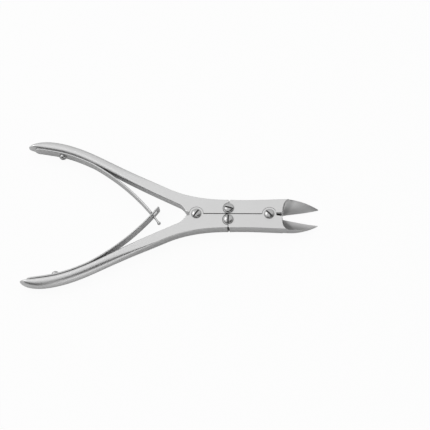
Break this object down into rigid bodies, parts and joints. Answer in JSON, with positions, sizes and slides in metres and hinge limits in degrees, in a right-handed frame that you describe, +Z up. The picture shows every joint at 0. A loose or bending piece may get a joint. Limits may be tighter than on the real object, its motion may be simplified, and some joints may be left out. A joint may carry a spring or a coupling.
{
  "type": "bone cutting forceps",
  "caption": "Double-action bone cutting forceps with long bowed handles, crossed leaf springs and short hollow-ground chisel-edged jaws on a compound linkage.",
  "frame": {"origin": "on the axis of the rear pivot, in the flat underside of the joint block that the forceps rest on", "axes": "+X towards the blade tips, +Y across the spread of the handles towards the upper one, +Z up through the screw heads"},
  "size_m": [0.1845, 0.0988, 0.0097],
  "materials": {
    "satin_steel": "satin, glass-bead blasted",
    "blade_steel": "satin, ground facets",
    "screw_steel": "turned, lightly polished",
    "spring_steel": "satin strip"
  },
  "bodies": {
    "lower_handle": {"lower_handle": "satin_steel", "lower_spring_screw": "screw_steel"},
    "upper_handle": {"upper_handle": "satin_steel", "rear_pivot_screw": "screw_steel", "upper_spring_screw": "screw_steel"},
    "lower_jaw": {"lower_jaw": "blade_steel", "lower_link_screw": "screw_steel"},
    "upper_jaw": {"upper_jaw": "blade_steel", "upper_link_screw": "screw_steel", "front_pivot_screw": "screw_steel"},
    "upper_spring": {"upper_spring": "spring_steel"},
    "lower_spring": {"lower_spring": "spring_steel"}
  },
  "joints": [
    {"name": "handle_pivot", "type": "hinge", "parent": "lower_handle", "child": "upper_handle", "pos_m": [0, 0, 0], "axis": [0, 0, 1], "range_deg": [0, 24.83], "stiffness_Nm_per_rad": 2.5, "springref_deg": -4.01},
    {"name": "lower_jaw_link", "type": "hinge", "parent": "lower_handle", "child": "lower_jaw", "pos_m": [0.0203, -0.00375, 0], "axis": [0, 0, 1], "range_deg": [0, 22.21]},
    {"name": "upper_jaw_link", "type": "hinge", "parent": "upper_handle", "child": "upper_jaw", "pos_m": [0.0203, 0.00375, 0], "axis": [0, 0, 1], "range_deg": [-22.21, 0]},
    {"name": "upper_spring_flex", "type": "hinge", "parent": "upper_handle", "child": "upper_spring", "pos_m": [-0.05458, 0.02552, 0], "axis": [0, 0, 1], "range_deg": [0, 10.21], "deforming": ["upper_spring"]},
    {"name": "lower_spring_flex", "type": "hinge", "parent": "lower_handle", "child": "lower_spring", "pos_m": [-0.05458, -0.02552, 0], "axis": [0, 0, 1], "range_deg": [-10.21, 0], "deforming": ["lower_spring"]}
  ],
  "couplings": [
    {"joint": "lower_jaw_link", "follows": "handle_pivot", "ratio": 0.89464},
    {"joint": "upper_jaw_link", "follows": "handle_pivot", "ratio": -0.89464},
    {"joint": "upper_spring_flex", "follows": "handle_pivot", "ratio": 0.41129},
    {"joint": "lower_spring_flex", "follows": "handle_pivot", "ratio": -0.41129}
  ]
}
